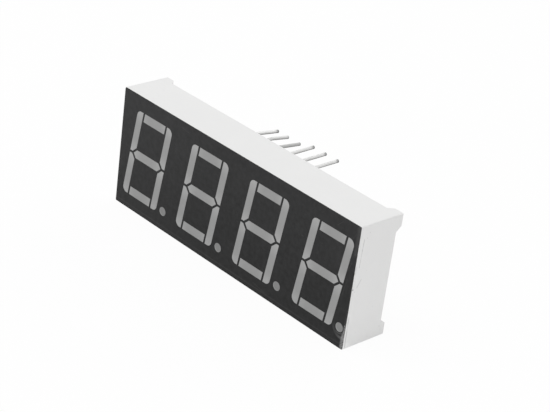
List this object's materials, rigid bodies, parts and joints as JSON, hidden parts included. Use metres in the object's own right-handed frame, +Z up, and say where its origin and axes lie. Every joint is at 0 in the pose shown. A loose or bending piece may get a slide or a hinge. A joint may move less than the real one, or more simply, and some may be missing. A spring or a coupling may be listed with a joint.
{
  "type": "four-digit seven-segment display",
  "caption": "Numeric LED display module: slanted segment digits with decimal points in a white block with a black face, rows of rear pins and corner feet.",
  "frame": {"origin": "middle of the pin field, in the seating plane of the four rear feet", "axes": "+X along the digits, to the right as seen from the front; +Y out of the back, along the pins; +Z up the digits"},
  "size_m": [0.0502, 0.0143, 0.019],
  "materials": {
    "white_plastic": "moulded, satin",
    "black_film": "matt, finely textured",
    "milky_resin": "diffused cast resin",
    "board_laminate": "glass-fibre laminate",
    "copper_foil": "thin copper foil",
    "tinned_wire": "tinned wire",
    "die_crystal": "light-emitting crystal",
    "gold_wire": "fine bond wire"
  },
  "bodies": {
    "root": {"bond_pads": "copper_foil", "bond_wires_1": "gold_wire", "bond_wires_2": "gold_wire", "bond_wires_3": "gold_wire", "bond_wires_4": "gold_wire", "circuit_board": "board_laminate", "die_1a": "die_crystal", "die_1b": "die_crystal", "die_1c": "die_crystal", "die_1d": "die_crystal", "die_1e": "die_crystal", "die_1f": "die_crystal", "die_1g": "die_crystal", "die_1p": "die_crystal", "die_2a": "die_crystal", "die_2b": "die_crystal", "die_2c": "die_crystal", "die_2d": "die_crystal", "die_2e": "die_crystal", "die_2f": "die_crystal", "die_2g": "die_crystal", "die_2p": "die_crystal", "die_3a": "die_crystal", "die_3b": "die_crystal", "die_3c": "die_crystal", "die_3d": "die_crystal", "die_3e": "die_crystal", "die_3f": "die_crystal", "die_3g": "die_crystal", "die_3p": "die_crystal", "die_4a": "die_crystal", "die_4b": "die_crystal", "die_4c": "die_crystal", "die_4d": "die_crystal", "die_4e": "die_crystal", "die_4f": "die_crystal", "die_4g": "die_crystal", "die_4p": "die_crystal", "digit_commons": "copper_foil", "face_film": "black_film", "pin_01": "tinned_wire", "pin_02": "tinned_wire", "pin_03": "tinned_wire", "pin_04": "tinned_wire", "pin_05": "tinned_wire", "pin_06": "tinned_wire", "pin_07": "tinned_wire", "pin_08": "tinned_wire", "pin_09": "tinned_wire", "pin_10": "tinned_wire", "pin_11": "tinned_wire", "pin_12": "tinned_wire", "reflector_housing": "white_plastic", "resin_fill": "milky_resin", "segment_lines": "copper_foil"}
  },
  "joints": []
}
